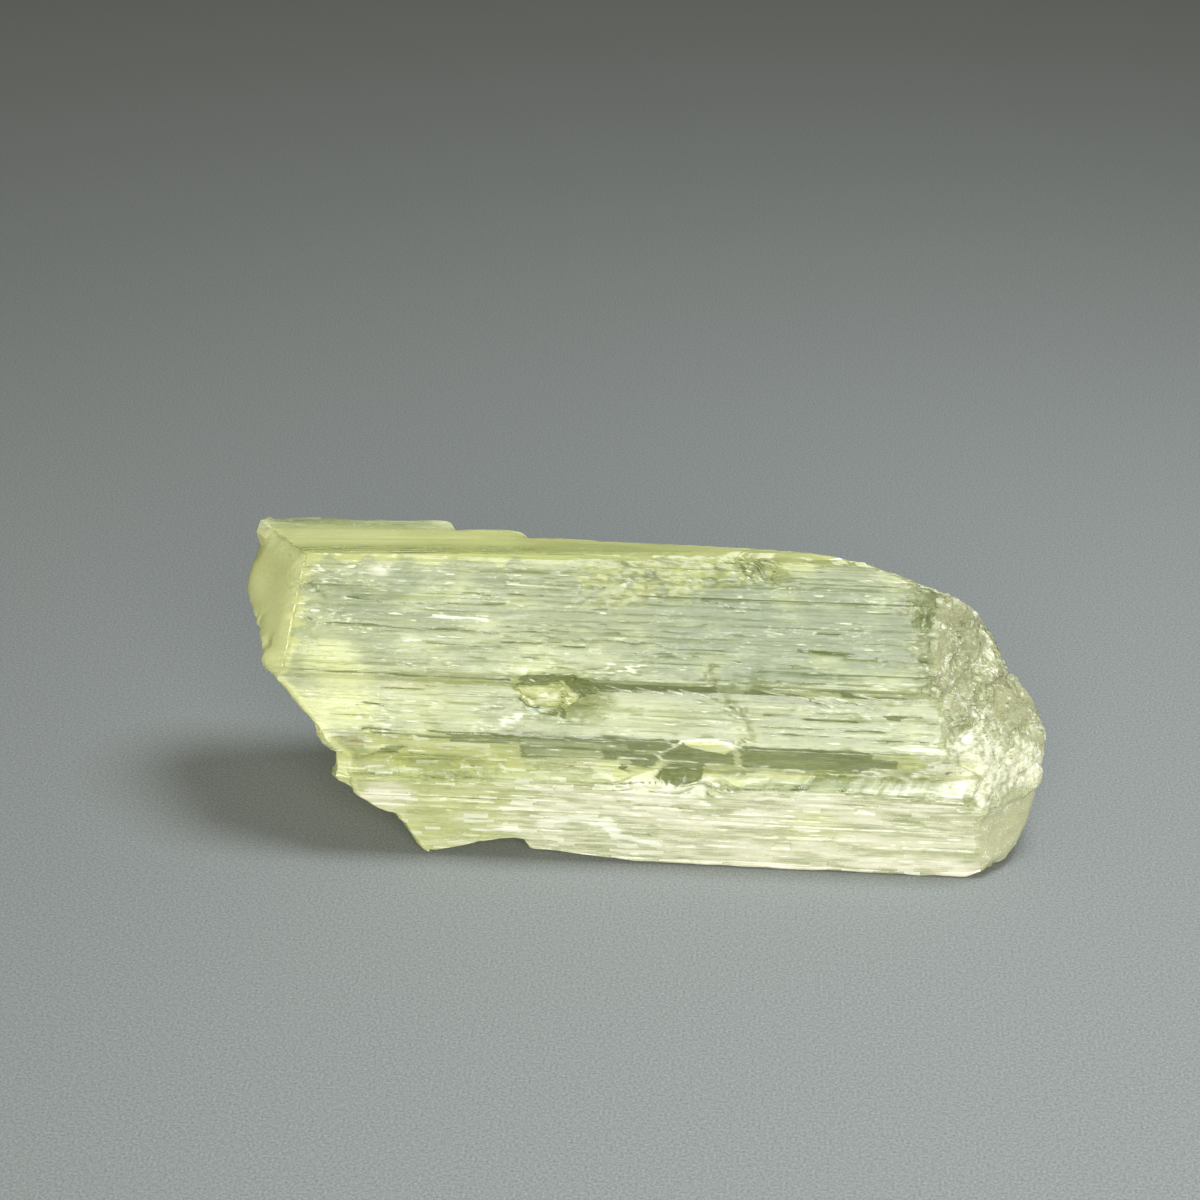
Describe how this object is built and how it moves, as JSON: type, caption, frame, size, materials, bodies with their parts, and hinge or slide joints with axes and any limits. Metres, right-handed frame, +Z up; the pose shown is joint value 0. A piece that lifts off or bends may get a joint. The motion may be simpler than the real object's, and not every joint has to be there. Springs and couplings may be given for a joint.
{
  "type": "hiddenite crystal",
  "caption": "Single pale yellow-green crystal: a striated prism with smooth cut faces at one end and a rough break at the other.",
  "frame": {"origin": "middle of the crystal's box, on the surface that it lies on", "axes": "+X along the crystal towards its broken end, -Y out of its striated front, +Z up"},
  "size_m": [0.037, 0.0098, 0.0139],
  "materials": {
    "hiddenite": "clear to silky yellow-green crystal, vitreous, with fine lengthwise striations"
  },
  "bodies": {
    "root": {"hiddenite_crystal": "hiddenite"}
  },
  "joints": []
}
